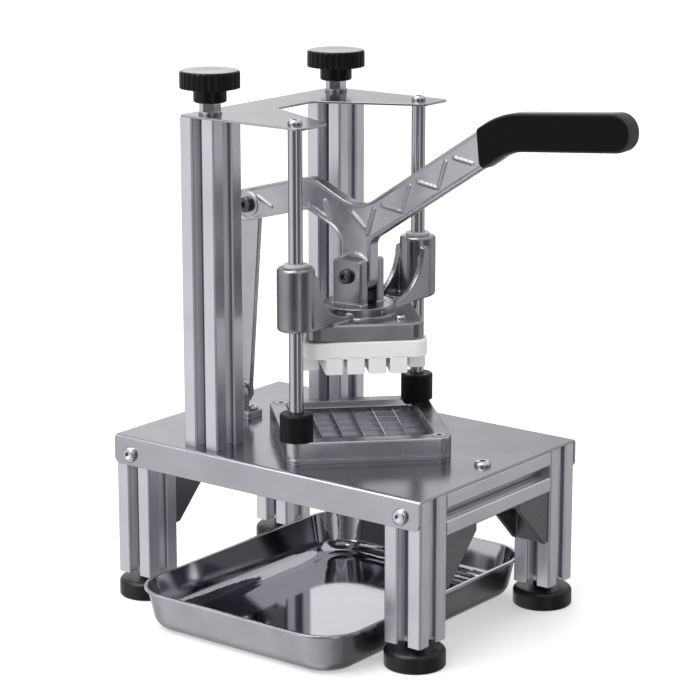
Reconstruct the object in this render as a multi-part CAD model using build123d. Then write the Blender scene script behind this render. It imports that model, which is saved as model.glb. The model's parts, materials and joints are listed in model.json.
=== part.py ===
from build123d import *
import os
from math import atan2, cos, degrees, hypot, radians, sin

# Hand-lever vegetable dicer on a slotted-profile stand. All sizes in millimetres.
# Frame: origin on the bench at the centre of the stand, +Z up, the lever reaches towards -Y,
# the two guide rods stand side by side along X.

# ---------------------------------------------------------------- driving dimensions
PROFILE = 30.0            # side of the slotted aluminium profile
SLOT_MOUTH = 8.2          # width of the profile's slot mouth
SLOT_LEAD = 1.0           # chamfer on each side of the mouth
SLOT_LIP = 13.0           # the slot opens out behind this distance from the profile's centre
SLOT_WIDE = 8.2           # half width of the slot behind its lips
SLOT_FLOOR = 6.2          # distance of the slot's floor from the centre
CORE_BORE = 6.8           # tapped bore along the profile's centre
CORE_THREAD_R = 3.3       # threaded shank that screws into it
LEG_X = 77.7              # leg centres from the centre line
LEG_Y = 119.0
LEG_BOTTOM = 17.4
PLATE_TOP = 120.5         # top face of the base plate
PLATE_THICK = 2.0
PLATE_WIDTH = 189.4       # over the two side flanges
PLATE_LENGTH = 268.0
FLANGE_HEIGHT = 21.0
FLANGE_SCREW_Z = 107.7
END_SCREW_Y = 119.0
PLATE_SCREW_R = 3.0
M5_CLEAR = 2.7            # radius of a clearance hole for the M5 screws
POST_SCREW_CLEAR = 3.4
KNOB_STUD_CLEAR = 4.2
BEND_R = 3.5              # outer radius of the plate's folds
GUSSET_SIZE = 37.0
GUSSET_WALL = 4.0
GUSSET_CHEEK = 3.0
GUSSET_WIDTH = 27.0
GUSSET_SCREW = 20.0       # screw distance from the gusset's corner
M6_CLEAR = 3.2            # radius of a clearance hole for the M6 screws
FOOT_R = 21.0
FOOT_HEIGHT = 13.0
FOOT_STUD_R = 3.95

ROD_X = 70.0              # rods, posts and knobs stand at +-ROD_X
HEAD_Y = -12.5            # cutting head centre along Y
ROD_R = 5.0
ROD_SCREW_R = 2.55
ROD_TAP_DEPTH = 12.0
POST_Y = 61.3
TOP_PLATE_UNDER = 352.3
TOP_PLATE_THICK = 1.5
COLLAR_HEIGHT = 8.2      # plated hex collar under each knob
COLLAR_TOP = TOP_PLATE_UNDER + TOP_PLATE_THICK + COLLAR_HEIGHT
KNOB_R = 20.8
KNOB_FLUTES = 30
KNOB_SKIRT_HEIGHT = 12.0
KNOB_HUB_R = 11.5
KNOB_HUB_HEIGHT = 9.8
KNOB_STUD_R = 4.0
KNOB_DISH_R = 280.0       # the knob's top is very slightly dished

GRID_OPENING = 88.9       # square opening of the blade frame (3.5 in)
CELLS = 6
PITCH = GRID_OPENING / CELLS
BLADE_THICK = 0.4
BLADE_BOTTOM = 123.6
BLADE_TOP = 132.0
FRAME_SIDE = 116.0
FRAME_CORNER_R = 10.0
CLAMP_THICK = 3.0
FRAME_TOP = 136.0
FRAME_SCREW_REACH = 70.0  # from the head's centre to the two frame screws
FRAME_SCREW_R = 2.6
COUNTERSINK = 2.6         # depth of the frame screws' conical heads
STOPPER_R = 11.5
STOPPER_TOP = 155.0

SLEEVE_R = 13.0
SLEEVE_BOTTOM = 213.0
SLEEVE_TOP = 257.0
BUSH_R = 7.0
BUSH_GAP = 0.05           # running clearance on the rods, on the radius
CARRIAGE_BOTTOM = 201.5
CARRIAGE_TOP = 213.5
CARRIAGE_SIDE = 82.0
DISC_TOP = 220.5
CHEEK_IN = 5.4
CHEEK_OUT = 13.3
CHEEK_TOP = 252.0
CHEEK_HALF = 12.5
PUSHER_SIDE = 86.0
PUSHER_BOTTOM = 190.0
TOOTH_SIDE = 12.1
TOOTH_BOTTOM = 179.0

LEVER_THICK = 10.0
LEVER_HALF = 11.4         # half the height of the lever's bar
CLEVIS_PIN = (HEAD_Y, 240.5)      # (y, z) of the pin that joins carriage and lever
REAR_PIN = (83.4, 279.0)          # lever to link
FOOT_PIN = (94.4, 138.0)          # link to bracket
LEVER_CREST = (27.7, 293.6)       # centre line of the lever's bar, from the rear pin forwards
LEVER_VALLEY = (-16.5, 273.4)
LEVER_KNEE = (-136.6, 351.9)
LEVER_TIP = (-231.0, 360.2)
POCKET_DEPTH = 0.8        # depth of the lever's side pockets
POCKET_RIM = 1.6          # plain border around them
CLEVIS_BOSS_R = 15.5      # plain round bosses left at the two pins
REAR_BOSS_R = 9.0
GRIP_OVERLAP = 7.0        # the pockets run this far under the grip
LEVER_REACH = 200.0       # generous length for cuts that end past the lever's tip
RIB_WIDTH = 1.6
RIB_START = 19.0          # first pair of ribs on the front arm, from the lever's valley
RIB_STEP = 35.6
RIB_PAIR = (              # each rib's two ends: distance along the arm, and across it
    ((0, -5.6), (-15, 6.6)),
    ((7.5, -4.8), (18.7, 5.2)),
)
PIN_R = 4.0
PIN_GAP = 0.08
CLEVIS_HEAD_R = 5.0
PIVOT_HEAD_R = 5.6
CAP_HEIGHT = 4.0
NUT_R = 7.0
NUT_HEIGHT = 6.0
EAR_REACH = 14.0          # the lever's rear end stands this far past its pin
LEG_HALF = 13.6           # half the width of the lever's leg
LINK_THICK = 4.4
LINK_HALF = 9.0
EAR_SLOT = 5.0
LUG_IN = LINK_THICK / 2 + 0.3     # the bracket's lug, from its inner to its outer face
LUG_OUT = 8.0
BRACKET_HEIGHT = 5.0
GRIP_WALL = 1.5
GRIP_START_Y = -113.4

TRAY_X = (-142.5, 95.0)
TRAY_Y = (-101.0, 82.0)
TRAY_HEIGHT = 30.0
TRAY_SHEET = 0.8
TRAY_RIM = 1.5            # how far the rolled rim stands out from the wall
TRAY_INSET = 8.0          # inset of the wall's line at the floor
TRAY_FLOOR_R = 12.0       # radius from the wall into the floor

SCREW_HEAD_R = 5.8
BRACKET_SCREWS = [(3.0, 87.0), (3.0, 99.0)]

SIDES = (("left", -1), ("right", 1))
ENDS = (("front", -1), ("rear", 1))

parts = {}


# ---------------------------------------------------------------- shared shapes
def slotted_profile():
    """Cross-section of the 30 mm profile: a rounded square with four T-slots and a core bore."""
    half = PROFILE / 2
    mouth = SLOT_MOUTH / 2
    shoulder = SLOT_FLOOR + SLOT_WIDE - mouth
    upper = [
        (half, mouth + SLOT_LEAD), (half - SLOT_LEAD, mouth), (SLOT_LIP, mouth),
        (SLOT_LIP, SLOT_WIDE), (shoulder, SLOT_WIDE), (SLOT_FLOOR, mouth),
    ]
    lower = [(x, -y) for x, y in reversed(upper)]
    slot = Polyline(*upper, *lower, close=True)
    section = RectangleRounded(PROFILE, PROFILE, 1.5) - Circle(CORE_BORE / 2)
    for quarter in range(4):
        section -= Rot(0, 0, 90 * quarter) * make_face(slot)
    return section


def upright(x, y, bottom, top):
    return Pos(x, y, bottom) * extrude(slotted_profile(), top - bottom)


def ring(radius, bore, bottom, top):
    """Upright tube or disc on the Z axis."""
    body = Pos(0, 0, (bottom + top) / 2) * Cylinder(radius, top - bottom)
    if bore:
        body -= Pos(0, 0, (bottom + top) / 2) * Cylinder(bore, top - bottom + 2)
    return body


def button_screw(shank_r, shank_length, head_r=SCREW_HEAD_R, head_height=3.2):
    """Button-head socket screw: head on top of z = 0, shank below it."""
    head = ring(head_r, 0, 0, head_height)
    head = fillet(head.edges().group_by(Axis.Z)[-1], head_height * 0.75)
    socket = Pos(0, 0, head_height - 1.8) * extrude(RegularPolygon(head_r * 0.45, 6), 3)
    return (head - socket) + ring(shank_r, 0, -shank_length, 0)


def group(solids):
    return Compound(children=list(solids))


def side_plate(outline, thickness, middle=0.0):
    """Extrude a face drawn as (y, z) into a plate centred on x = middle."""
    plate = extrude(Plane.YZ * outline, thickness / 2, both=True)
    return Pos(middle, 0, 0) * plate


def rounded_outline(points, radii):
    return make_face(FilletPolyline(*points, radius=radii, close=True))


def mitre(centre_line, index, offset):
    """Corner of the line that runs beside a centre line, offset to its left."""
    here = centre_line[index]
    before = centre_line[index - 1]
    after = centre_line[index + 1]
    turn_in = atan2(here[1] - before[1], here[0] - before[0])
    turn_out = atan2(after[1] - here[1], after[0] - here[0])
    middle = (turn_in + turn_out) / 2 + radians(90)
    reach = offset / cos((turn_out - turn_in) / 2)
    return (here[0] + reach * cos(middle), here[1] + reach * sin(middle))


def square_end(centre_line, end, offset, extra=0.0):
    """Corner of the bar's end, offset to the left of the centre line's own direction."""
    here = centre_line[end]
    other = centre_line[1] if end == 0 else centre_line[-2]
    away = atan2(here[1] - other[1], here[0] - other[0])
    side = away - radians(90) if end == 0 else away + radians(90)
    return (
        here[0] + extra * cos(away) + offset * cos(side),
        here[1] + extra * sin(away) + offset * sin(side),
    )


# ---------------------------------------------------------------- stand
def base_plate():
    """Folded sheet: flat top, two side flanges, an opening under the grid."""
    outer = Pos(0, 0, PLATE_TOP - FLANGE_HEIGHT / 2) * Box(PLATE_WIDTH, PLATE_LENGTH, FLANGE_HEIGHT)
    outer = fillet(outer.edges().filter_by(Axis.Y).group_by(Axis.Z)[-1], BEND_R)
    inner = Pos(0, 0, PLATE_TOP - PLATE_THICK - FLANGE_HEIGHT / 2) * Box(
        PLATE_WIDTH - 2 * PLATE_THICK, PLATE_LENGTH + 2, FLANGE_HEIGHT
    )
    sheet = outer - inner
    sheet = fillet(sheet.edges().filter_by(Axis.X).group_by(Axis.Z)[0], 5.0)
    opening = Pos(0, HEAD_Y, PLATE_TOP) * Rot(0, 0, 45) * extrude(
        RectangleRounded(GRID_OPENING, GRID_OPENING, 7), 10, both=True
    )
    sheet -= opening
    for x in (-ROD_X, ROD_X):
        sheet -= Pos(x, HEAD_Y, PLATE_TOP) * Cylinder(M6_CLEAR, 10)
        sheet -= Pos(x, POST_Y, PLATE_TOP) * Cylinder(POST_SCREW_CLEAR, 10)
    for y in (-END_SCREW_Y, END_SCREW_Y):
        sheet -= Pos(0, y, PLATE_TOP) * Cylinder(M6_CLEAR, 10)
        for side in (-1, 1):
            flange_hole = Pos(side * PLATE_WIDTH / 2, y, FLANGE_SCREW_Z) * Rot(0, 90, 0)
            sheet -= flange_hole * Cylinder(M6_CLEAR, 10)
    for x, y in [*[(0, y) for y in frame_screw_y()], *BRACKET_SCREWS]:
        sheet -= Pos(x, y, PLATE_TOP) * Cylinder(M5_CLEAR, 10)
    return sheet


def frame_screw_y():
    return [HEAD_Y - FRAME_SCREW_REACH, HEAD_Y + FRAME_SCREW_REACH]


def rail(y):
    """Cross rail between two legs, slots facing out, up, in and down."""
    length = 2 * (LEG_X - PROFILE / 2)
    z = PLATE_TOP - PLATE_THICK - PROFILE / 2
    return Pos(-length / 2, y, z) * extrude(Plane.YZ * slotted_profile(), length)


def corner_gusset(side_x, side_y):
    """Die-cast angle bracket between a leg's inner face and the rail's underside."""
    corner = PLATE_TOP - PLATE_THICK - PROFILE
    size, wall, toe = GUSSET_SIZE, GUSSET_WALL, 5.0
    profile = make_face(
        Polyline((0, 0), (-size, 0), (-size, -toe), (-toe, -size), (0, -size), close=True)
    )
    block = extrude(Plane.XZ * profile, GUSSET_WIDTH / 2, both=True)
    reach = size + toe
    pocket_face = make_face(
        Polyline((-wall, -wall), (-reach, -wall), (-reach, -reach), (-wall, -reach), close=True)
    )
    block -= extrude(Plane.XZ * pocket_face, GUSSET_WIDTH / 2 - GUSSET_CHEEK, both=True)
    block -= Pos(-GUSSET_SCREW, 0, 0) * Cylinder(M6_CLEAR, 3 * wall)
    block -= Pos(0, 0, -GUSSET_SCREW) * Rot(0, 90, 0) * Cylinder(M6_CLEAR, 3 * wall)
    if side_x < 0:
        block = mirror(block, Plane.YZ)
    return Pos(side_x * (LEG_X - PROFILE / 2), side_y * LEG_Y, corner) * block


def gusset_screws():
    """Two screws per gusset: one up into the rail, one sideways into the leg."""
    corner = PLATE_TOP - PLATE_THICK - PROFILE
    solids = []
    for side_x in (-1, 1):
        for side_y in (-1, 1):
            face_x = side_x * (LEG_X - PROFILE / 2)
            y = side_y * LEG_Y
            up = Rot(180, 0, 0) * button_screw(2.9, 9.0, 5.0, 2.8)
            solids.append(Pos(face_x - side_x * GUSSET_SCREW, y, corner - GUSSET_WALL) * up)
            across = Rot(0, -90 * side_x, 0) * button_screw(2.9, 9.0, 5.0, 2.8)
            solids.append(Pos(face_x - side_x * GUSSET_WALL, y, corner - GUSSET_SCREW) * across)
    return group(solids)


def foot_pad():
    pad = ring(FOOT_R, 0, 0, FOOT_HEIGHT)
    pad = fillet(pad.edges().group_by(Axis.Z)[-1], 3.5)
    pad = chamfer(pad.edges().group_by(Axis.Z)[0], 1.0)
    return pad - ring(FOOT_STUD_R + 0.03, 0, 5.0, FOOT_HEIGHT + 1)


def foot_stud():
    stud = ring(FOOT_STUD_R, 0, 5.0, 15.6) + ring(CORE_THREAD_R, 0, 14.0, 34.0)
    nut = Pos(0, 0, 13.2) * extrude(RegularPolygon(6.5, 6), 2.6)
    return stud + nut


def plate_screws():
    """Six button-head screws: four through the side flanges, two through the top of the base plate."""
    solids = []
    for y in (-END_SCREW_Y, END_SCREW_Y):
        solids.append(Pos(0, y, PLATE_TOP) * button_screw(PLATE_SCREW_R, 10.0))
        for side in (-1, 1):
            screw = Rot(0, 90 * side, 0) * button_screw(PLATE_SCREW_R, 10.0)
            solids.append(Pos(side * PLATE_WIDTH / 2, y, FLANGE_SCREW_Z) * screw)
    return group(solids)


def slot_nuts():
    """T-nuts inside the profile slots, one for each screw that clamps a sheet or a gusset."""
    wide = Pos(0, 0, 11.8) * Box(12, 15, 2.2)
    narrow = Pos(0, 0, 9.0) * Box(12, 7.6, 3.6)
    nut = wide + narrow - Cylinder(PLATE_SCREW_R + 0.02, 40)
    rail_z = PLATE_TOP - PLATE_THICK - PROFILE / 2
    solids = []
    for _, end_y in ENDS:
        y = end_y * LEG_Y
        solids.append(Pos(0, y, rail_z) * nut)
        for _, side in SIDES:
            inner_face = side * (LEG_X - PROFILE / 2)
            solids.append(Pos(side * LEG_X, y, FLANGE_SCREW_Z) * Rot(0, 90 * side, 0) * nut)
            solids.append(Pos(inner_face - side * GUSSET_SCREW, y, rail_z) * Rot(180, 0, 0) * nut)
            across = Pos(side * LEG_X, y, rail_z - PROFILE / 2 - GUSSET_SCREW)
            solids.append(across * Rot(0, -90 * side, 0) * nut)
    return group(solids)


# ---------------------------------------------------------------- cutting head
def frame_blank(bottom, top):
    blank = extrude(RectangleRounded(FRAME_SIDE, FRAME_SIDE, FRAME_CORNER_R), top - bottom)
    blank = Pos(0, 0, bottom) * blank
    turned = Pos(0, HEAD_Y, 0) * Rot(0, 0, 45) * blank
    for x in (-ROD_X, ROD_X):
        turned -= Pos(x, HEAD_Y, (top + bottom) / 2) * Cylinder(ROD_R + 0.05, top - bottom + 2)
    for y in frame_screw_y():
        turned -= Pos(0, y, (top + bottom) / 2) * Cylinder(FRAME_SCREW_R + 0.4, top - bottom + 2)
    return turned


def countersunk_head(clearance):
    """Cone that widens upwards to a flat top at z = 0."""
    wide = FRAME_SCREW_R + COUNTERSINK
    return Pos(0, 0, -COUNTERSINK / 2) * Cone(FRAME_SCREW_R + clearance, wide + clearance, COUNTERSINK)


def head_turned(shape):
    """Place a shape drawn on the head's own square axes: turned 45 degrees about the head centre."""
    return Pos(0, HEAD_Y, 0) * Rot(0, 0, 45) * shape


def blade_offsets():
    return [PITCH * (cell - CELLS / 2) for cell in range(1, CELLS)]


def blade_frame():
    bottom = PLATE_TOP + CLAMP_THICK
    block = frame_blank(bottom, FRAME_TOP)
    block = fillet(block.edges().group_by(Axis.Z)[-1].filter_by(GeomType.LINE), 1.0)
    opening = Pos(0, 0, bottom - 1) * extrude(RectangleRounded(GRID_OPENING, GRID_OPENING, 3), 30)
    wide = GRID_OPENING + 5.0
    funnel = loft([
        Pos(0, 0, BLADE_TOP) * RectangleRounded(GRID_OPENING, GRID_OPENING, 3),
        Pos(0, 0, FRAME_TOP + 0.01) * RectangleRounded(wide, wide, 5),
    ])
    block -= head_turned(opening + funnel)
    for y in frame_screw_y():
        block -= Pos(0, y, FRAME_TOP) * countersunk_head(0.4)
    height = BLADE_TOP - bottom + 0.3
    slot = Box(GRID_OPENING + 8.4, BLADE_THICK + 0.2, height + 0.2)
    for offset in blade_offsets():
        for turn in (0, 90):
            place = Rot(0, 0, turn) * Pos(0, offset, bottom + height / 2 - 0.1)
            block -= head_turned(place * slot)
    return block


def blade_clamp_plate():
    plate = frame_blank(PLATE_TOP, PLATE_TOP + CLAMP_THICK)
    opening = Pos(0, 0, PLATE_TOP - 1) * extrude(RectangleRounded(GRID_OPENING, GRID_OPENING, 3), 10)
    return plate - head_turned(opening)


def blades(turn, slots_up):
    """Five parallel blades with half-depth slots where the other five cross them."""
    height = BLADE_TOP - BLADE_BOTTOM
    middle = (BLADE_TOP + BLADE_BOTTOM) / 2
    solids = []
    for offset in blade_offsets():
        blade = Pos(0, offset, middle) * Box(GRID_OPENING + 8.0, BLADE_THICK, height)
        for cross in blade_offsets():
            slot_z = middle + (height / 4 + 0.1) * (1 if slots_up else -1)
            blade -= Pos(cross, offset, slot_z) * Box(BLADE_THICK + 0.1, 2, height / 2 + 0.3)
        solids.append(head_turned(Rot(0, 0, turn) * blade))
    return group(solids)


def frame_screws():
    """Two countersunk screws that hold the blade frame down."""
    length = FRAME_TOP - PLATE_TOP + 6.0
    socket = Pos(0, 0, -1.6) * extrude(RegularPolygon(2.0, 6), 3)
    screw = countersunk_head(0) + ring(FRAME_SCREW_R, 0, -length, -COUNTERSINK) - socket
    return group(Pos(0, y, FRAME_TOP) * screw for y in frame_screw_y())


def guide_rod(x):
    bottom = PLATE_TOP
    rod = Pos(x, HEAD_Y, 0) * ring(ROD_R, 0, bottom, TOP_PLATE_UNDER)
    for z in (bottom, TOP_PLATE_UNDER):
        rod -= Pos(x, HEAD_Y, z) * Cylinder(ROD_SCREW_R + 0.05, ROD_TAP_DEPTH * 2)
    return rod


def rod_screws():
    """Four screws: a domed one through the top plate and one up through the base plate, per rod."""
    solids = []
    for x in (-ROD_X, ROD_X):
        above = Pos(x, HEAD_Y, TOP_PLATE_UNDER + TOP_PLATE_THICK)
        solids.append(above * button_screw(ROD_SCREW_R, 12.0, 5.0, 3.2))
        below = Pos(x, HEAD_Y, PLATE_TOP - PLATE_THICK) * Rot(180, 0, 0)
        solids.append(below * button_screw(ROD_SCREW_R, 12.0, 5.0, 2.8))
    return group(solids)


def stopper(x):
    rubber = ring(STOPPER_R, ROD_R, FRAME_TOP, STOPPER_TOP)
    rubber = chamfer(rubber.edges().group_by(Axis.Z)[-1].sort_by(SortBy.RADIUS)[-1], 1.0)
    return Pos(x, HEAD_Y, 0) * rubber


def post_screws():
    """Screws up through the base plate into the posts' core bores."""
    screw = Rot(180, 0, 0) * button_screw(CORE_THREAD_R, 14.0, 6.0, 3.0)
    return group(Pos(x, POST_Y, PLATE_TOP - PLATE_THICK) * screw for x in (-ROD_X, ROD_X))


def top_plate():
    """Flat sheet: two front lobes over the rods and a tapering notch that the lever swings through."""
    side, front, back = 85.0, -29.0, 76.3
    lobe, notch, notch_back = 55.0, 20.0, 43.0
    outline = rounded_outline(
        [(-side, back), (side, back), (side, front), (lobe, front), (notch, notch_back),
         (-notch, notch_back), (-lobe, front), (-side, front)],
        [3, 3, 6, 6, 5, 5, 6, 6],
    )
    sheet = Pos(0, 0, TOP_PLATE_UNDER) * extrude(outline, TOP_PLATE_THICK)
    for x in (-ROD_X, ROD_X):
        sheet -= Pos(x, HEAD_Y, TOP_PLATE_UNDER) * Cylinder(M5_CLEAR, 10)
        sheet -= Pos(x, POST_Y, TOP_PLATE_UNDER) * Cylinder(KNOB_STUD_CLEAR, 10)
    return sheet


# ---------------------------------------------------------------- knobs
def knob_collar(x):
    """Plated hex collar with a washer foot and the stud that screws into the post."""
    foot = TOP_PLATE_UNDER + TOP_PLATE_THICK
    washer = 2.0
    collar = Pos(0, 0, foot + washer) * extrude(RegularPolygon(7.6, 6), COLLAR_HEIGHT - washer)
    collar += ring(8.0, 0, foot, foot + washer)
    collar += ring(CORE_THREAD_R, 0, foot - 22.0, foot)
    collar += ring(KNOB_STUD_R, 0, COLLAR_TOP, COLLAR_TOP + 12.0)
    return Pos(x, POST_Y, 0) * collar


def knob(x):
    """Black ribbed hand knob: a hub below, a ribbed skirt above, slightly dished on top."""
    hub_top = COLLAR_TOP + KNOB_HUB_HEIGHT
    skirt_top = hub_top + KNOB_SKIRT_HEIGHT
    hub = fillet(ring(KNOB_HUB_R, 0, COLLAR_TOP, hub_top).edges().group_by(Axis.Z)[0], 1.5)
    skirt = fillet(ring(KNOB_R, 0, hub_top, skirt_top).edges().group_by(Axis.Z)[-1], 2.0)
    for flute in range(KNOB_FLUTES):
        turn = 360 * flute / KNOB_FLUTES
        skirt -= Rot(0, 0, turn) * Pos(KNOB_R + 0.9, 0, (hub_top + skirt_top) / 2) * Cylinder(1.6, 20)
    skirt -= Pos(0, 0, skirt_top + KNOB_DISH_R - 0.3) * Sphere(KNOB_DISH_R)
    body = hub + skirt
    body -= ring(KNOB_STUD_R + 0.03, 0, COLLAR_TOP - 1, COLLAR_TOP + 12.5)
    return Pos(x, POST_Y, 0) * body


# ---------------------------------------------------------------- carriage
def carriage():
    """Cast carriage: turned square plate, disc, clevis cheeks and two sleeves on curved ribs."""
    plate = Pos(0, 0, CARRIAGE_BOTTOM) * extrude(
        RectangleRounded(CARRIAGE_SIDE, CARRIAGE_SIDE, 10), CARRIAGE_TOP - CARRIAGE_BOTTOM
    )
    plate = fillet(plate.edges().group_by(Axis.Z)[-1], 2.0)
    cast = head_turned(plate)
    cast += Pos(0, HEAD_Y, 0) * ring(26.0, 0, CARRIAGE_TOP - 1, DISC_TOP)
    cheek_face = rounded_outline(
        [(HEAD_Y - CHEEK_HALF, DISC_TOP - 1), (HEAD_Y - CHEEK_HALF, CHEEK_TOP),
         (HEAD_Y + CHEEK_HALF, CHEEK_TOP), (HEAD_Y + CHEEK_HALF, DISC_TOP - 1)],
        [0.5, 2.5, 2.5, 0.5],
    )
    rib_top = SLEEVE_TOP - 7.0
    arc_x, arc_r = 27.0, 33.0
    rib_face = make_face(
        Line((arc_x - 8, SLEEVE_BOTTOM), (ROD_X, SLEEVE_BOTTOM))
        + Line((ROD_X, SLEEVE_BOTTOM), (ROD_X, rib_top))
        + Line((ROD_X, rib_top), (arc_x + arc_r, rib_top))
        + CenterArc((arc_x, rib_top), arc_r, 0, -90)
        + Line((arc_x, rib_top - arc_r), (arc_x - 8, rib_top - arc_r))
        + Line((arc_x - 8, rib_top - arc_r), (arc_x - 8, SLEEVE_BOTTOM))
    )
    rib = Plane.XZ * rib_face
    for side in (-1, 1):
        middle = side * (CHEEK_IN + CHEEK_OUT) / 2
        cast += side_plate(cheek_face, CHEEK_OUT - CHEEK_IN, middle)
        sleeve = ring(SLEEVE_R, 0, SLEEVE_BOTTOM, SLEEVE_TOP)
        sleeve = fillet(sleeve.edges().filter_by(GeomType.CIRCLE), 2.5)
        cast += Pos(side * ROD_X, HEAD_Y, 0) * sleeve
        for edge in (-1, 1):
            web = extrude(rib, 2.0, both=True)
            web = web if side > 0 else mirror(web, Plane.YZ)
            cast += Pos(0, HEAD_Y + edge * (CHEEK_HALF - 2.0), 0) * web
        cast += Pos(side * 52, HEAD_Y, SLEEVE_BOTTOM + 1.5) * Box(16, 2 * CHEEK_HALF - 4, 3)
    for side in (-1, 1):
        cast -= Pos(side * ROD_X, HEAD_Y, (SLEEVE_BOTTOM + SLEEVE_TOP) / 2) * Cylinder(BUSH_R, 60)
    cast -= Pos(0, CLEVIS_PIN[0], CLEVIS_PIN[1]) * Rot(0, 90, 0) * Cylinder(PIN_R + PIN_GAP, 40)
    for x, y in pusher_screw_places():
        cast -= Pos(x, y, CARRIAGE_TOP) * Cylinder(2.3, 30)
    return cast


def pusher_screw_places():
    reach = 36.0
    return [(reach, HEAD_Y), (-reach, HEAD_Y), (0, HEAD_Y - reach), (0, HEAD_Y + reach)]


def bush(x, upper):
    """Flanged plain bush; the upper one's flange shows on top of the sleeve."""
    length = 18.0
    if upper:
        tube = ring(BUSH_R, ROD_R + BUSH_GAP, SLEEVE_TOP - length, SLEEVE_TOP)
        tube += ring(8.5, ROD_R + BUSH_GAP, SLEEVE_TOP, SLEEVE_TOP + 2.0)
    else:
        tube = ring(BUSH_R, ROD_R + BUSH_GAP, SLEEVE_BOTTOM, SLEEVE_BOTTOM + length)
    return Pos(x, HEAD_Y, 0) * tube


def pusher_block():
    """White plastic block with one tooth for every grid cell but the four corner ones."""
    slab = Pos(0, 0, PUSHER_BOTTOM) * extrude(
        RectangleRounded(PUSHER_SIDE, PUSHER_SIDE, 9), CARRIAGE_BOTTOM - PUSHER_BOTTOM
    )
    slab = fillet(slab.edges().group_by(Axis.Z)[-1], 1.0)
    ends = (0, CELLS - 1)
    for row in range(CELLS):
        for column in range(CELLS):
            if row in ends and column in ends:
                continue
            x = PITCH * (column - (CELLS - 1) / 2)
            y = PITCH * (row - (CELLS - 1) / 2)
            tooth = extrude(RectangleRounded(TOOTH_SIDE, TOOTH_SIDE, 1.2), PUSHER_BOTTOM - TOOTH_BOTTOM + 1)
            slab += Pos(x, y, TOOTH_BOTTOM) * tooth
    block = head_turned(slab)
    for x, y in pusher_screw_places():
        block -= Pos(x, y, CARRIAGE_BOTTOM) * Cylinder(1.9, 16)
    return block


def pusher_screws():
    screw = button_screw(1.9, 19.0, 3.6, 2.4)
    return group(Pos(x, y, CARRIAGE_TOP) * screw for x, y in pusher_screw_places())


def cap_head(radius):
    """Cap screw's head on top of z = 0, with a rounded rim and a hexagon socket."""
    head = ring(radius, 0, 0, CAP_HEIGHT)
    head = fillet(head.edges().group_by(Axis.Z)[-1], 1.2)
    return head - Pos(0, 0, CAP_HEIGHT / 2) * extrude(RegularPolygon(2.7, 6), CAP_HEIGHT)


def clevis_bolt():
    """Bolt from the left cheek to the right one, head outside the left cheek."""
    bolt = cap_head(CLEVIS_HEAD_R) + ring(PIN_R, 0, -2 * CHEEK_OUT - 7.0, 0)
    return Pos(-CHEEK_OUT, CLEVIS_PIN[0], CLEVIS_PIN[1]) * Rot(0, -90, 0) * bolt


def clevis_nut():
    nut = extrude(RegularPolygon(NUT_R, 6), NUT_HEIGHT) - Cylinder(PIN_R + 0.02, 30)
    return Pos(CHEEK_OUT, CLEVIS_PIN[0], CLEVIS_PIN[1]) * Rot(0, 90, 0) * nut


# ---------------------------------------------------------------- lever
BAR = [REAR_PIN, LEVER_CREST, LEVER_VALLEY, LEVER_KNEE, LEVER_TIP]


def lever_outline():
    """Lever seen from the side: a bent bar with a leg that drops to the clevis pin."""
    top = [mitre(BAR, index, -LEVER_HALF) for index in (1, 2, 3)]
    crest = mitre(BAR, 1, LEVER_HALF)
    knee = mitre(BAR, 3, LEVER_HALF)
    rear_leg, front_leg = HEAD_Y + LEG_HALF, HEAD_Y - LEG_HALF
    leg_foot = CLEVIS_PIN[1] - LEG_HALF
    slope_down = (LEVER_CREST[1] - LEVER_VALLEY[1]) / (LEVER_CREST[0] - LEVER_VALLEY[0])
    slope_up = (LEVER_KNEE[1] - LEVER_VALLEY[1]) / (LEVER_KNEE[0] - LEVER_VALLEY[0])
    under_crest = crest[1] + slope_down * (rear_leg - crest[0])
    under_arm = knee[1] + slope_up * (front_leg - knee[0])
    points = [
        square_end(BAR, 0, -LEVER_HALF, EAR_REACH), *top,
        square_end(BAR, -1, -LEVER_HALF), square_end(BAR, -1, LEVER_HALF), knee,
        (front_leg, under_arm), (front_leg, leg_foot), (rear_leg, leg_foot),
        (rear_leg, under_crest), crest, square_end(BAR, 0, LEVER_HALF, EAR_REACH),
    ]
    radii = [10.0, 26.0, 28.0, 75.0, 10.0, 10.0, 50.0, 7.0, 13.3, 13.3, 14.0, 9.0, 10.0]
    return points, radii


def along(start, end, distance, across):
    """Point at a distance from start towards end, and across to the left."""
    run = hypot(end[0] - start[0], end[1] - start[1])
    step = ((end[0] - start[0]) / run, (end[1] - start[1]) / run)
    return (
        start[0] + step[0] * distance - step[1] * across,
        start[1] + step[1] * distance + step[0] * across,
    )


def rib_lines():
    """Stiffening ribs of the lever, each as its two (y, z) ends."""
    lines = [
        ((74.7, 286.0), (61.6, 279.7)),
        ((26.9, 284.9), (12.7, 278.4)),
        ((13.7, 289.7), (9.7, 277.2)),
        ((-10.4, 283.7), (-21.4, 274.5)),
    ]
    for pair in range(3):
        node = RIB_START + RIB_STEP * pair
        for rib in RIB_PAIR:
            lines.append([along(LEVER_VALLEY, LEVER_KNEE, node + step, across) for step, across in rib])
    return lines


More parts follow.
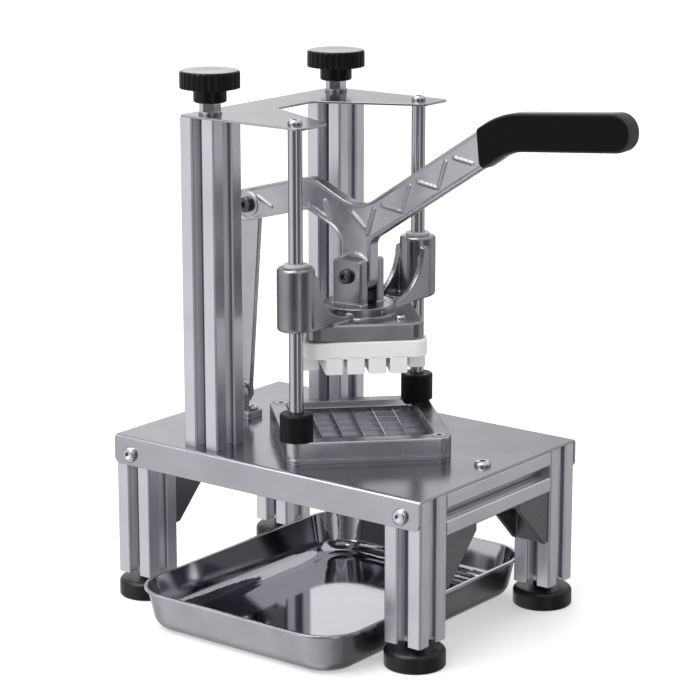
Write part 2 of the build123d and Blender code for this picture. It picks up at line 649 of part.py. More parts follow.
def lever_arm():
    points, radii = lever_outline()
    outline = rounded_outline(points, radii)
    body = side_plate(outline, LEVER_THICK)
    pocket = offset(outline, -POCKET_RIM)
    for pin, radius in ((CLEVIS_PIN, CLEVIS_BOSS_R), (REAR_PIN, REAR_BOSS_R)):
        pocket -= Pos(*pin) * Circle(radius)
    under_grip = GRIP_START_Y - GRIP_OVERLAP
    pocket -= Pos(under_grip - LEVER_REACH / 2, LEVER_TIP[1]) * Rectangle(LEVER_REACH, LEVER_REACH)
    for start, end in rib_lines():
        length = hypot(end[0] - start[0], end[1] - start[1])
        turn = degrees(atan2(end[1] - start[1], end[0] - start[0]))
        middle = ((start[0] + end[0]) / 2, (start[1] + end[1]) / 2)
        pocket -= Pos(*middle) * Rot(0, 0, turn) * SlotOverall(length + RIB_WIDTH, RIB_WIDTH)
    for side in (-1, 1):
        outer = side * (LEVER_THICK / 2 - POCKET_DEPTH / 2)
        body -= side_plate(pocket, POCKET_DEPTH + 0.02, outer)
    bar_turn = degrees(atan2(LEVER_CREST[1] - REAR_PIN[1], LEVER_CREST[0] - REAR_PIN[0]))
    slot_front = 15.0
    slot_length = slot_front + EAR_REACH + 10
    slot_centre = along(REAR_PIN, LEVER_CREST, slot_front - slot_length / 2, 0)
    slot = Rot(bar_turn, 0, 0) * Box(EAR_SLOT, slot_length, 60)
    body -= Pos(0, *slot_centre) * slot
    body -= Pos(0, *REAR_PIN) * Rot(0, 90, 0) * Cylinder(PIN_R, 40)
    body -= Pos(0, *CLEVIS_PIN) * Rot(0, 90, 0) * Cylinder(PIN_R + PIN_GAP, 40)
    return body


def handle_grip():
    """Dipped soft grip: a closed-ended sleeve over the lever's front end."""
    half = LEVER_HALF + GRIP_WALL
    slope = (LEVER_KNEE[1] - LEVER_VALLEY[1]) / (LEVER_KNEE[0] - LEVER_VALLEY[0])
    upper_knee = mitre(BAR, 3, -half)
    lower_knee = mitre(BAR, 3, half)
    start_low = GRIP_START_Y - 3.0
    points = [
        (GRIP_START_Y, upper_knee[1] + slope * (GRIP_START_Y - upper_knee[0])), upper_knee,
        square_end(BAR, -1, -half, GRIP_WALL), square_end(BAR, -1, half, GRIP_WALL), lower_knee,
        (start_low, lower_knee[1] + slope * (start_low - lower_knee[0])),
    ]
    outline = rounded_outline(points, [2.6, 60.0, 12.5, 12.5, 40.0, 4.0])
    skin = side_plate(outline, LEVER_THICK + 2 * GRIP_WALL)
    outer_x = LEVER_THICK / 2 + GRIP_WALL
    rims = [edge for edge in skin.edges() if abs(abs(edge.center().X) - outer_x) < 0.01]
    skin = fillet(rims, 2.4)
    points, radii = lever_outline()
    return skin - side_plate(rounded_outline(points, radii), LEVER_THICK)


def rear_bolt(side):
    """Half of the lever's rear pivot: a stub seated in one ear, with its head or nut outside.

    The two stubs stop at the ears' inner faces, so the link's eye is free between them.
    """
    ear = (LEVER_THICK - EAR_SLOT) / 2
    stub = ring(PIN_R - 0.01, 0, -ear, 0)
    outside = cap_head(PIVOT_HEAD_R) if side < 0 else extrude(RegularPolygon(NUT_R, 6), NUT_HEIGHT)
    return Pos(side * LEVER_THICK / 2, *REAR_PIN) * Rot(0, 90 * side, 0) * (stub + outside)


# ---------------------------------------------------------------- rear link
def rear_link():
    """Flat bar with a rounded eye at each end."""
    run = hypot(REAR_PIN[0] - FOOT_PIN[0], REAR_PIN[1] - FOOT_PIN[1])
    turn = degrees(atan2(REAR_PIN[1] - FOOT_PIN[1], REAR_PIN[0] - FOOT_PIN[0]))
    middle = ((REAR_PIN[0] + FOOT_PIN[0]) / 2, (REAR_PIN[1] + FOOT_PIN[1]) / 2)
    outline = Pos(*middle) * Rot(0, 0, turn) * SlotCenterToCenter(run, 2 * LINK_HALF)
    bar = side_plate(outline, LINK_THICK)
    rims = [edge for edge in bar.edges() if abs(abs(edge.center().X) - LINK_THICK / 2) < 0.01]
    bar = chamfer(rims, 0.5)
    for pin in (REAR_PIN, FOOT_PIN):
        bar -= Pos(0, *pin) * Rot(0, 90, 0) * Cylinder(PIN_R + PIN_GAP, 40)
    return bar


def link_bracket():
    """Block bolted to the base plate with one lug that the link turns beside."""
    block_top = PLATE_TOP + BRACKET_HEIGHT
    front, back = 81.0, 105.0
    middle_z = PLATE_TOP + BRACKET_HEIGHT / 2
    block = Pos(0, (front + back) / 2, middle_z) * Box(2 * LUG_OUT, back - front, BRACKET_HEIGHT)
    block = fillet(block.edges().filter_by(Axis.Z), 2.0)
    for x, y in BRACKET_SCREWS:
        block -= Pos(x, y, PLATE_TOP) * Cylinder(2.5, 40)
    lug_face = rounded_outline(
        [(85.0, block_top - 1), (FOOT_PIN[0] - 9, FOOT_PIN[1] + 9), (FOOT_PIN[0] + 9, FOOT_PIN[1] + 9),
         (103.0, block_top - 1)],
        [0.5, 8.8, 8.8, 0.5],
    )
    lug = side_plate(lug_face, LUG_OUT - LUG_IN, -(LUG_OUT + LUG_IN) / 2)
    bracket = block + lug
    return bracket - Pos(0, *FOOT_PIN) * Rot(0, 90, 0) * Cylinder(PIN_R, 40)


def bracket_screws():
    screw = button_screw(2.5, 12.0, 4.2, 2.6)
    return group(Pos(x, y, PLATE_TOP + BRACKET_HEIGHT) * screw for x, y in BRACKET_SCREWS)


def foot_pin_bolt():
    """Shoulder bolt through the bracket's lug and the link, with a low nut behind the link."""
    bolt = cap_head(PIVOT_HEAD_R) + ring(PIN_R, 0, -(LUG_OUT + LINK_THICK / 2 + 5.0), 0)
    return Pos(-LUG_OUT, *FOOT_PIN) * Rot(0, -90, 0) * bolt


def foot_pin_nut():
    nut = extrude(RegularPolygon(6.6, 6), 4.0) - Cylinder(PIN_R, 30)
    return Pos(LINK_THICK / 2 + 0.4, *FOOT_PIN) * Rot(0, 90, 0) * nut


# ---------------------------------------------------------------- tray
def tray_level(inset, corner, z):
    width = TRAY_X[1] - TRAY_X[0] - 2 * inset
    depth = TRAY_Y[1] - TRAY_Y[0] - 2 * inset
    centre = ((TRAY_X[0] + TRAY_X[1]) / 2, (TRAY_Y[0] + TRAY_Y[1]) / 2)
    return Pos(*centre, z) * RectangleRounded(width, depth, corner)


def tray():
    """Shallow pressed tray with a rolled rim."""
    outer = loft([tray_level(TRAY_INSET, 24, 0), tray_level(TRAY_RIM, 30, TRAY_HEIGHT)])
    outer = fillet(outer.edges().group_by(Axis.Z)[0], TRAY_FLOOR_R)
    rise = TRAY_HEIGHT - TRAY_SHEET
    steps = (rise + 5) / TRAY_HEIGHT
    top_inset = TRAY_INSET + (TRAY_RIM - TRAY_INSET) * steps
    inner = loft([
        tray_level(TRAY_INSET + TRAY_SHEET, 23, TRAY_SHEET),
        tray_level(top_inset + TRAY_SHEET, 29, TRAY_HEIGHT + 5),
    ])
    inner = fillet(inner.edges().group_by(Axis.Z)[0], TRAY_FLOOR_R - TRAY_SHEET)
    rim = Pos(0, 0, TRAY_HEIGHT - 2) * (
        extrude(tray_level(0, 31, 0), 2) - extrude(tray_level(TRAY_RIM + TRAY_SHEET, 29, 0), 2)
    )
    return outer + rim - inner


# ---------------------------------------------------------------- assembly
def make_parts():
    parts["base_plate"] = base_plate()
    under_plate = PLATE_TOP - PLATE_THICK
    for end, end_y in ENDS:
        parts[f"{end}_rail"] = rail(end_y * LEG_Y)
        for side, side_x in SIDES:
            corner = f"{end}_{side}"
            place = Pos(side_x * LEG_X, end_y * LEG_Y, 0)
            parts[f"leg_{corner}"] = upright(side_x * LEG_X, end_y * LEG_Y, LEG_BOTTOM, under_plate)
            parts[f"gusset_{corner}"] = corner_gusset(side_x, end_y)
            parts[f"foot_pad_{corner}"] = place * foot_pad()
            parts[f"foot_stud_{corner}"] = place * foot_stud()
    parts["gusset_screws"] = gusset_screws()
    parts["plate_screws"] = plate_screws()
    parts["slot_nuts"] = slot_nuts()
    parts["blade_clamp_plate"] = blade_clamp_plate()
    parts["blade_frame"] = blade_frame()
    parts["blades_across"] = blades(0, True)
    parts["blades_along"] = blades(90, False)
    parts["blade_frame_screws"] = frame_screws()
    parts["rod_screws"] = rod_screws()
    parts["post_screws"] = post_screws()
    parts["top_plate"] = top_plate()
    for side, side_x in SIDES:
        x = side_x * ROD_X
        parts[f"guide_rod_{side}"] = guide_rod(x)
        parts[f"stopper_{side}"] = stopper(x)
        parts[f"post_{side}"] = upright(x, POST_Y, PLATE_TOP, TOP_PLATE_UNDER)
        parts[f"knob_{side}"] = knob(x)
        parts[f"knob_collar_{side}"] = knob_collar(x)
        parts[f"bush_upper_{side}"] = bush(x, True)
        parts[f"bush_lower_{side}"] = bush(x, False)
    parts["carriage"] = carriage()
    parts["pusher_block"] = pusher_block()
    parts["pusher_screws"] = pusher_screws()
    parts["clevis_bolt"] = clevis_bolt()
    parts["clevis_nut"] = clevis_nut()
    parts["lever_arm"] = lever_arm()
    parts["handle_grip"] = handle_grip()
    parts["rear_pivot_bolt"] = rear_bolt(-1)
    parts["rear_pivot_nut"] = rear_bolt(1)
    parts["rear_link"] = rear_link()
    parts["link_bracket"] = link_bracket()
    parts["bracket_screws"] = bracket_screws()
    parts["foot_pin_bolt"] = foot_pin_bolt()
    parts["foot_pin_nut"] = foot_pin_nut()
    parts["tray"] = tray()


make_parts()
os.makedirs("parts", exist_ok=True)
for name, shape in parts.items():
    export_step(shape, f"parts/{name}.step")
print(len(parts), "nodes")
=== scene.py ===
import json
from math import cos, pi, radians, sin

import bmesh
import bpy
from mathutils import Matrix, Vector

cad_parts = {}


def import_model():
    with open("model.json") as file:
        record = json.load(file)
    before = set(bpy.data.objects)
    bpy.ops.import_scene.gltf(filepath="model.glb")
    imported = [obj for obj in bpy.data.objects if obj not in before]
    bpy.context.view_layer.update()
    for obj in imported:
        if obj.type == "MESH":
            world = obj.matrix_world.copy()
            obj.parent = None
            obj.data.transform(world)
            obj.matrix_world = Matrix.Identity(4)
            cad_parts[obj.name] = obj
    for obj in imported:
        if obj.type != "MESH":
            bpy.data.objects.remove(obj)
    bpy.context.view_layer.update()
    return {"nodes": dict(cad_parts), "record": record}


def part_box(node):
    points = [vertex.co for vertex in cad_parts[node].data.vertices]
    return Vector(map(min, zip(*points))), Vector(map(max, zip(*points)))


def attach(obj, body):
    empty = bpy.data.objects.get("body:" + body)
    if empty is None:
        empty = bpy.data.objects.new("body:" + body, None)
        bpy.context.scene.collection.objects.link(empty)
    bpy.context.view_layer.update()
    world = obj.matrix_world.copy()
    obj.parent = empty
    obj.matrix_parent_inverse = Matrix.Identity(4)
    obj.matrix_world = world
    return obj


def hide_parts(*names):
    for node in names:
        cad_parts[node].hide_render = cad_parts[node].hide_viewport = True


# Hand-lever vegetable dicer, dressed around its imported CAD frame. Metres throughout.
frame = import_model()
nodes = frame["nodes"]
node_body = {node: body for body, members in frame["record"]["behaviour"]["bodies"].items()
             for node in members}

MM = 0.001
STRAIGHT_UP = (0.96, 0.995)      # a normal's rise where the painted top sheen starts, and where it is full
ROUNDED_OFF = (0.75, 0.98)       # a normal's size along X on rounded edges, where the painted edge sheen is full, and on broad sides, where it is gone
METAL_GRAIN_DEPTH = 0.1 * MM
PLASTIC_GRAIN_DEPTH = 0.2 * MM
GLOW_DEPTH = 3 * MM              # how deep light goes into pale plastic
METAL_CLOUDS, PLASTIC_CLOUDS = 25.0, 40.0
SHARP = radians(32)              # corners above this are rounded over
CREASE = radians(40)             # and after that, corners above this stay crisp in the shading
FLAT = radians(0.3)              # faces that meet at less are one flat face
WELD = 0.001 * MM                # corners that stand closer are one corner


# ------------------------------------------------------------------ materials
class Graph:
    """Small helper around one material's node tree."""

    def __init__(self, name):
        self.material = bpy.data.materials.new(name)
        self.material.use_nodes = True
        self.tree = self.material.node_tree
        self.shader = self.tree.nodes["Principled BSDF"]
        self.place = self.add("ShaderNodeTexCoord").outputs["Object"]

    def add(self, kind, **settings):
        node = self.tree.nodes.new(kind)
        for key, value in settings.items():
            setattr(node, key, value)
        return node

    def link(self, source, target):
        self.tree.links.new(source, target)

    def stretched(self, scale):
        """Object coordinates scaled per axis, so that a texture can run along one direction."""
        mapping = self.add("ShaderNodeMapping")
        mapping.inputs["Scale"].default_value = scale
        self.link(self.place, mapping.inputs["Vector"])
        return mapping.outputs["Vector"]

    def noise(self, scale, stretch=(1, 1, 1), detail=3.0, rough=0.5):
        noise = self.add("ShaderNodeTexNoise")
        noise.inputs["Scale"].default_value = scale
        noise.inputs["Detail"].default_value = detail
        noise.inputs["Roughness"].default_value = rough
        self.link(self.stretched(stretch), noise.inputs["Vector"])
        return noise.outputs["Fac"]

    def spread(self, value, low, high, start=0.3, end=0.7):
        """Map a 0..1 value onto a range."""
        node = self.add("ShaderNodeMapRange")
        node.inputs["From Min"].default_value = start
        node.inputs["From Max"].default_value = end
        node.inputs["To Min"].default_value = low
        node.inputs["To Max"].default_value = high
        self.link(value, node.inputs["Value"])
        return node.outputs["Result"]

    def tint(self, value, dark, light):
        ramp = self.add("ShaderNodeValToRGB")
        ramp.color_ramp.elements[0].position = 0.3
        ramp.color_ramp.elements[1].position = 0.7
        ramp.color_ramp.elements[0].color = (*dark, 1)
        ramp.color_ramp.elements[1].color = (*light, 1)
        self.link(value, ramp.inputs["Fac"])
        return ramp.outputs["Color"]

    def over(self, below, color, cover):
        """Another colour over part of the surface."""
        mix = self.add("ShaderNodeMix", data_type="RGBA")
        low, high = [socket for socket in mix.inputs if socket.type == "RGBA"]
        self.link(cover, mix.inputs["Factor"])
        self.link(below, low)
        high.default_value = (*color, 1)
        return [socket for socket in mix.outputs if socket.type == "RGBA"][0]

    def facing(self, axis):
        """How far the surface's normal points along an axis."""
        split = self.add("ShaderNodeSeparateXYZ")
        self.link(self.add("ShaderNodeTexCoord").outputs["Normal"], split.inputs["Vector"])
        return split.outputs[axis]

    def on_top(self):
        """The faces that look straight up."""
        return self.spread(self.facing("Z"), 0.0, 1.0, *STRAIGHT_UP)

    def off_the_sides(self):
        """The rounded edges and the ends of a piece with its broad sides across X."""
        size = self.add("ShaderNodeMath", operation="ABSOLUTE")
        self.link(self.facing("X"), size.inputs[0])
        return self.spread(size.outputs["Value"], 1.0, 0.0, *ROUNDED_OFF)

    def bump(self, height, strength, distance):
        node = self.add("ShaderNodeBump")
        node.inputs["Strength"].default_value = strength
        node.inputs["Distance"].default_value = distance
        self.link(height, node.inputs["Height"])
        return node.outputs["Normal"]


COOL_GREY = (1.0, 0.985, 1.065)


def shades(color, spread):
    """A darker and a lighter shade either side of a colour."""
    return [tuple(channel * (1 + sign * spread) for channel in color) for sign in (-1, 1)]


def metal(name, level, rough, grain, grain_scale, grain_bump, cloud=0.06, edge=1.0, spread=0.25):
    """Metal with a directional grain: roughness and height follow the grain, and colour varies in soft
    clouds.

    Its colour is a slightly cool grey, and edge is how bright it stays at a grazing angle.
    """
    g = Graph(name)
    color = [level * channel for channel in COOL_GREY]
    lines = g.noise(grain_scale, grain, detail=4.0, rough=0.6)
    clouds = g.noise(METAL_CLOUDS, detail=3.0)
    g.shader.inputs["Metallic"].default_value = 1.0
    g.shader.inputs["Specular Tint"].default_value = (edge, edge, edge, 1)
    g.link(g.tint(clouds, *shades(color, cloud)), g.shader.inputs["Base Color"])
    g.link(g.spread(lines, rough * (1 - spread), rough * (1 + spread)), g.shader.inputs["Roughness"])
    g.link(g.bump(lines, grain_bump, METAL_GRAIN_DEPTH), g.shader.inputs["Normal"])
    return g.material


def plastic(name, color, rough, cloud=0.05, grain_scale=700.0, grain_bump=0.05, gloss=0.5,
            subsurface=0.0, painted_top_sheen=None, painted_edge_sheen=None):
    """Moulded plastic, rubber or vinyl with a fine grain, and maybe a painted highlight: a paler top
    face or paler edges in place of sheen.
    """
    g = Graph(name)
    clouds = g.noise(PLASTIC_CLOUDS, detail=3.0)
    grain = g.noise(grain_scale, detail=2.0)
    g.shader.inputs["Specular IOR Level"].default_value = gloss
    g.shader.inputs["Subsurface Weight"].default_value = subsurface
    g.shader.inputs["Subsurface Scale"].default_value = GLOW_DEPTH
    shade = g.tint(clouds, *shades(color, cloud))
    # painted highlight: a paler top face stands in for sheen from above
    if painted_top_sheen:
        shade = g.over(shade, painted_top_sheen, g.on_top())
    # painted highlight: paler rounded edges and ends stand in for sheen
    if painted_edge_sheen:
        shade = g.over(shade, painted_edge_sheen, g.off_the_sides())
    g.link(shade, g.shader.inputs["Base Color"])
    g.link(g.spread(clouds, rough * 0.85, rough * 1.15), g.shader.inputs["Roughness"])
    g.link(g.bump(grain, grain_bump, PLASTIC_GRAIN_DEPTH), g.shader.inputs["Normal"])
    return g.material


# How the grain is stretched, then each slot's metal (level, roughness, grain, its scale and its bump)
# or plastic (colour, roughness).
ALONG_X, ALONG_Y, ALONG_Z, EVEN = (0.02, 1, 1), (1, 0.02, 1), (1, 1, 0.02), (1, 1, 1)
SLOT_MATERIALS = {
    "anodised_profile": metal("anodised_profile", 0.62, 0.34, ALONG_Z, 1500, 0.06),
    "brushed_sheet": metal("brushed_sheet", 0.42, 0.18, ALONG_Y, 1400, 0.02, edge=0.62),
    "polished_tray": metal("polished_tray", 0.46, 0.07, EVEN, 60, 0.01, cloud=0.03),
    "die_cast": metal("die_cast", 0.19, 0.40, EVEN, 500, 0.03),
    "plated_steel": metal("plated_steel", 0.55, 0.16, EVEN, 300, 0.02),
    "ground_rod": metal("ground_rod", 0.50, 0.10, EVEN, 300, 0.01, cloud=0.03),
    "dark_steel": metal("dark_steel", 0.09, 0.26, EVEN, 300, 0.02),
    "blade_steel": metal("blade_steel", 0.52, 0.20, ALONG_X, 1200, 0.02),
    "frame_casting": metal("frame_casting", 0.46, 0.24, EVEN, 60, 0.010, cloud=0.14, edge=0.5),
    "carriage_casting": metal("carriage_casting", 0.29, 0.27, EVEN, 60, 0.010, cloud=0.18),
    "bush_plastic": plastic("bush_plastic", (0.42, 0.42, 0.43), 0.4),
    "pusher_plastic": plastic("pusher_plastic", (0.70, 0.70, 0.705), 0.32, cloud=0.02, subsurface=0.1),
    "lever_casting": metal("lever_casting", 0.44, 0.28, EVEN, 60, 0.012, cloud=0.12),
    # the grip's rounded edges and ends get a painted highlight, a paler colour in place of sheen
    "grip_vinyl": plastic("grip_vinyl", (0.004, 0.004, 0.005), 0.14, grain_bump=0.01, gloss=0.06,
                          painted_edge_sheen=(0.040, 0.040, 0.043)),
    # the knob's top face gets a painted highlight, a paler colour in place of sheen from above
    "knob_plastic": plastic("knob_plastic", (0.005, 0.005, 0.006), 0.20, grain_bump=0.02, gloss=0.18,
                            painted_top_sheen=(0.11, 0.11, 0.12)),
    "foot_rubber": plastic("foot_rubber", (0.007, 0.007, 0.008), 0.34, gloss=0.3),
    "stopper_rubber": plastic("stopper_rubber", (0.005, 0.005, 0.006), 0.42, gloss=0.15),
}
satin_tray = metal("satin_tray", 0.50, 0.27, EVEN, 25, 0.008, cloud=0.14)
anodised_rail = metal("anodised_rail", 0.62, 0.34, ALONG_X, 1500, 0.06)
node_slot = {part["node"]: part["material_slot"] for part in frame["record"]["subparts"]}


def dress(obj, slot):
    obj.data.materials.clear()
    obj.data.materials.append(SLOT_MATERIALS[slot])


for node, obj in nodes.items():
    dress(obj, node_slot[node])
dress(nodes["blade_frame_screws"], "carriage_casting")


# ------------------------------------------------------------------ pieces from CAD shapes
def new_object(name, mesh):
    obj = bpy.data.objects.new(name, mesh)
    bpy.context.scene.collection.objects.link(obj)
    return obj


def settle(obj):
    """Apply an object's modifiers to its mesh."""
    graph = bpy.context.evaluated_depsgraph_get()
    mesh = bpy.data.meshes.new_from_object(obj.evaluated_get(graph))
    obj.modifiers.clear()
    obj.data = mesh
    return obj


def welded_copy(node, name, merge=True):
    """Free copy of a CAD node's mesh, with its corners joined and maybe its flat faces merged."""
    bm = bmesh.new()
    bm.from_mesh(nodes[node].data)
    bmesh.ops.remove_doubles(bm, verts=bm.verts, dist=WELD)
    if merge:
        bmesh.ops.dissolve_limit(bm, angle_limit=FLAT, verts=bm.verts, edges=bm.edges)
    mesh = bpy.data.meshes.new(name)
    bm.to_mesh(mesh)
    bm.free()
    return new_object(name, mesh)


def stand_in(obj, node):
    """Put a finished piece in place of a CAD node, with its body, slot and material."""
    slot = node_slot[node]
    dress(obj, slot)
    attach(obj, node_body[node])
    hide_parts(node)
    return obj


def broken_edges(node, width, segments=2, merge=True):
    """A machined or moulded piece: the CAD shape with its sharp edges rounded over."""
    obj = welded_copy(node, node + "_finished", merge)
    bevel = obj.modifiers.new("edges", "BEVEL")
    bevel.width = width
    bevel.segments = segments
    bevel.limit_method = "ANGLE"
    bevel.angle_limit = SHARP
    bevel.use_clamp_overlap = False
    bevel.face_strength_mode = "FSTR_ALL"
    settle(obj)
    obj.data.shade_smooth()
    obj.data.set_sharp_from_angle(angle=CREASE)
    weighted = obj.modifiers.new("normals", "WEIGHTED_NORMAL")
    weighted.keep_sharp = True
    weighted.use_face_influence = True
    settle(obj)
    return stand_in(obj, node)


def cast(node, voxel, rounds):
    """A casting or dipped piece: every corner and fillet rolled soft, more so with more rounds."""
    obj = welded_copy(node, node + "_cast")
    remesh = obj.modifiers.new("skin", "REMESH")
    remesh.mode = "VOXEL"
    remesh.voxel_size = voxel
    smooth = obj.modifiers.new("soften", "SMOOTH")
    smooth.iterations = rounds
    smooth.factor = 0.5
    settle(obj)
    obj.data.shade_smooth()
    return stand_in(obj, node)


def pressed_tray(rim=1.0 * MM):
    """The tray with its rim rolled over: satin outside and on the rim, polished inside."""
    obj = broken_edges("tray", 0.35 * MM, 4)
    obj.data.materials.append(satin_tray)
    low, high = (Vector(corner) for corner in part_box("tray"))
    middle = (low + high) / 2
    for face in obj.data.polygons:
        inward = (middle - face.center).to_2d().dot(face.normal.to_2d()) > 0
        on_rim = face.center.z > high.z - rim
        upward = face.normal.z > 0.5
        face.material_index = 0 if (inward or upward) and not on_rim else 1


for node in nodes:
    if node.startswith(("leg_", "post_left", "post_right")):
        broken_edges(node, 0.25 * MM)
for node in ("front_rail", "rear_rail"):
    broken_edges(node, 0.25 * MM).data.materials[0] = anodised_rail
for node in ("base_plate", "top_plate", "blade_clamp_plate", "rear_link"):
    broken_edges(node, 0.3 * MM)
broken_edges("pusher_block", 0.5 * MM, 3)
for node in nodes:
    if node.startswith(("bush_upper", "stopper", "foot_pad", "guide_rod")):
        broken_edges(node, 0.2 * MM)
    elif node.startswith("knob_"):
        broken_edges(node, 0.2 * MM, merge=False)
    elif node.endswith(("_bolt", "_nut")):
        broken_edges(node, 0.12 * MM)
pressed_tray()
cast("lever_arm", 0.58 * MM, 4)
cast("carriage", 0.68 * MM, 4)
cast("blade_frame", 0.55 * MM, 3)
cast("handle_grip", 0.5 * MM, 14)
cast("link_bracket", 0.5 * MM, 4)
for node in nodes:
    if node.startswith("gusset_") and node != "gusset_screws":
        cast(node, 0.5 * MM, 3)


# ------------------------------------------------------------------ studio
def mesh_object(name, vertices, faces):
    mesh = bpy.data.meshes.new(name)
    mesh.from_pydata(vertices, [], faces)
    return new_object(name, mesh)


FLOOR_REACH = 12.0
WALL_HEIGHT = 6.0
WALL_FOOT = -0.01                # just below the floor, so that no gap shows
WALL_SIDES = 48


def plain_white(name, base, glow):
    """Plain pale surface that glows a little."""
    g = Graph(name)
    g.shader.inputs["Base Color"].default_value = (base, base, base, 1)
    g.shader.inputs["Roughness"].default_value = 0.65
    g.shader.inputs["Emission Color"].default_value = (1, 1, 1, 1)
    g.shader.inputs["Emission Strength"].default_value = glow
    return g.material


def backdrop():
    """Plain pale wall round the floor, which only the camera sees."""
    turns = [2 * pi * step / WALL_SIDES for step in range(WALL_SIDES)]
    ring = [(FLOOR_REACH * cos(turn), FLOOR_REACH * sin(turn)) for turn in turns]
    vertices = [(x, y, z) for z in (WALL_FOOT, WALL_HEIGHT) for x, y in ring]
    following = [(step + 1) % WALL_SIDES for step in range(WALL_SIDES)]
    faces = [(step, after, after + WALL_SIDES, step + WALL_SIDES)
             for step, after in enumerate(following)]
    obj = mesh_object("backdrop", vertices, faces)
    obj.data.materials.append(plain_white("backdrop", 0.0, 1.0))
    obj.visible_diffuse = obj.visible_glossy = obj.visible_transmission = obj.visible_shadow = False


def floor():
    corners = [(x * FLOOR_REACH, y * FLOOR_REACH, 0) for x, y in ((-1, -1), (1, -1), (1, 1), (-1, 1))]
    obj = mesh_object("floor", corners, [(0, 1, 2, 3)])
    obj.data.materials.append(plain_white("floor", 0.55, 0.42))
    obj.visible_glossy = False


def softbox(name, azimuth, elevation, distance, width, height, power, mirrored=True):
    """Rectangular light aimed at the middle of the object, which shiny metal may mirror or not."""
    light = bpy.data.lights.new(name, "AREA")
    light.shape = "RECTANGLE"
    light.size, light.size_y = width, height
    light.energy = power
    obj = bpy.data.objects.new(name, light)
    bpy.context.scene.collection.objects.link(obj)
    obj.location = MIDDLE + distance * direction(azimuth, elevation)
    obj.rotation_euler = (MIDDLE - obj.location).to_track_quat("-Z", "Y").to_euler()
    obj.visible_glossy = mirrored


def direction(azimuth, elevation):
    """Unit vector towards a viewer: azimuth 0 stands at -Y, and +90 at +X."""
    turn, lift = radians(azimuth), radians(elevation)
    return Vector((sin(turn) * cos(lift), -cos(turn) * cos(lift), sin(lift)))


def sun(name, azimuth, elevation, spread, strength):
    """Even light from one side, as soft as its spread in degrees."""
    light = bpy.data.lights.new(name, "SUN")
    light.angle = radians(spread)
    light.energy = strength
    obj = bpy.data.objects.new(name, light)
    bpy.context.scene.collection.objects.link(obj)
    obj.rotation_euler = direction(azimuth, elevation).to_track_quat("Z", "Y").to_euler()


# Brightness around the horizon, as (azimuth in degrees, level): one broad bright side, narrow strips
# between dark stretches that draw lines on round metal, and a softer far side.
HORIZON = [(-180, 0.6), (-150, 0.8), (-125, 1.05), (-100, 0.9), (-84, 0.3), (-62, 0.10),
           (-40, 0.30), (-33, 0.9), (-25, 0.9), (-18, 0.16), (18, 0.2), (48, 0.70), (80, 0.5),
           (100, 0.35), (121, 0.95), (131, 1.5), (180, 0.65)]
# The same lower down, where the tray's leaning walls look.
BELOW = [(-180, 0.5), (-125, 0.85), (-90, 0.75), (-60, 0.6), (-20, 0.3), (10, 0.15), (90, 0.12),
         (140, 0.4), (180, 0.5)]
OVERHEAD = [(0.0, 0.0), (0.26, 0.0), (0.55, 1.0)]    # how much of the bright ceiling shows, by height
CEILING = 0.95
LOW_DOWN = (-0.34, -0.50)                            # where the lower ring takes over, by height
MIDDLE = Vector((0, 0, 0.18))                        # what the softboxes aim at


def ramp(tree, value, stops):
    node = tree.nodes.new("ShaderNodeValToRGB")
    tree.links.new(value, node.inputs["Fac"])
    elements = node.color_ramp.elements
    while len(elements) < len(stops):
        elements.new(0.5)
    for element, (position, level) in zip(elements, stops):
        element.position = position
        element.color = (level, level, level, 1)
    return node.outputs["Color"]


def blend(tree, factor, low, high):
    """Mix two colours; high may be a plain level."""
    mix = tree.nodes.new("ShaderNodeMix")
    mix.data_type = "RGBA"
    first, second = [socket for socket in mix.inputs if socket.type == "RGBA"]
    tree.links.new(factor, mix.inputs["Factor"])
    tree.links.new(low, first)
    if isinstance(high, float):
        second.default_value = (high, high, high, 1)
    else:
        tree.links.new(high, second)
    return [socket for socket in mix.outputs if socket.type == "RGBA"][0]


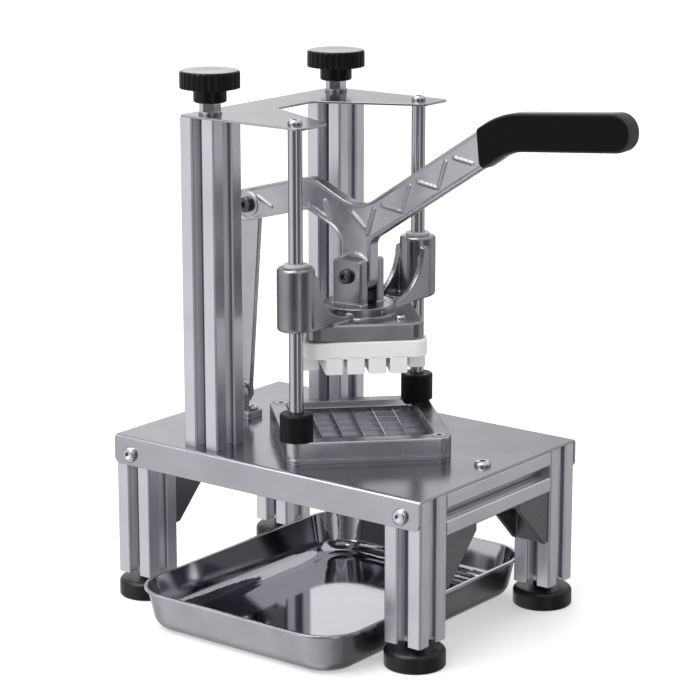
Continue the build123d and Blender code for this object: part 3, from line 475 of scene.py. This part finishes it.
def share(tree, value, start, end):
    """Where a value stands between start and end, from 0 to 1."""
    node = tree.nodes.new("ShaderNodeMapRange")
    node.inputs["From Min"].default_value = start
    node.inputs["From Max"].default_value = end
    tree.links.new(value, node.inputs["Value"])
    return node.outputs["Result"]


def world():
    """Studio surroundings drawn by direction: two rings of bands below a bright ceiling."""
    scene_world = bpy.data.worlds.new("studio")
    bpy.context.scene.world = scene_world
    scene_world.use_nodes = True
    tree = scene_world.node_tree
    coords = tree.nodes.new("ShaderNodeTexCoord")
    split = tree.nodes.new("ShaderNodeSeparateXYZ")
    tree.links.new(coords.outputs["Generated"], split.inputs["Vector"])
    backwards = tree.nodes.new("ShaderNodeMath")
    backwards.operation = "MULTIPLY"
    backwards.inputs[1].default_value = -1
    tree.links.new(split.outputs["Y"], backwards.inputs[0])
    turn = tree.nodes.new("ShaderNodeMath")
    turn.operation = "ARCTAN2"
    tree.links.new(split.outputs["X"], turn.inputs[0])
    tree.links.new(backwards.outputs["Value"], turn.inputs[1])
    around = share(tree, turn.outputs["Value"], -pi, pi)
    rings = [ramp(tree, around, [((azimuth + 180) / 360, level) for azimuth, level in ring])
             for ring in (HORIZON, BELOW)]
    low_down = share(tree, split.outputs["Z"], *LOW_DOWN)
    sides = blend(tree, low_down, *rings)
    high_up = ramp(tree, split.outputs["Z"], OVERHEAD)
    tree.links.new(blend(tree, high_up, sides, CEILING), tree.nodes["Background"].inputs["Color"])


def camera(target, azimuth, elevation, distance, lens):
    """Aimed at a point, from one side and above."""
    cam = bpy.data.cameras.new("camera")
    obj = bpy.data.objects.new("camera", cam)
    bpy.context.scene.collection.objects.link(obj)
    obj.location = target + distance * direction(azimuth, elevation)
    obj.rotation_euler = (target - obj.location).to_track_quat("-Z", "Y").to_euler()
    cam.lens = lens
    cam.sensor_width = 36
    bpy.context.scene.camera = obj


floor()
backdrop()
sun("overhead", -120, 65, 50, 2.2)
softbox("key", -100, 35, 1.6, 0.8, 1.2, 5)
softbox("back", 130, 30, 1.8, 1.0, 0.8, 5, mirrored=False)
world()
camera(Vector((0.0024, -0.0032, 0.1836)), -52.6, 14.0, 1.772, 129.4)
bpy.context.scene.view_settings.view_transform = "Standard"
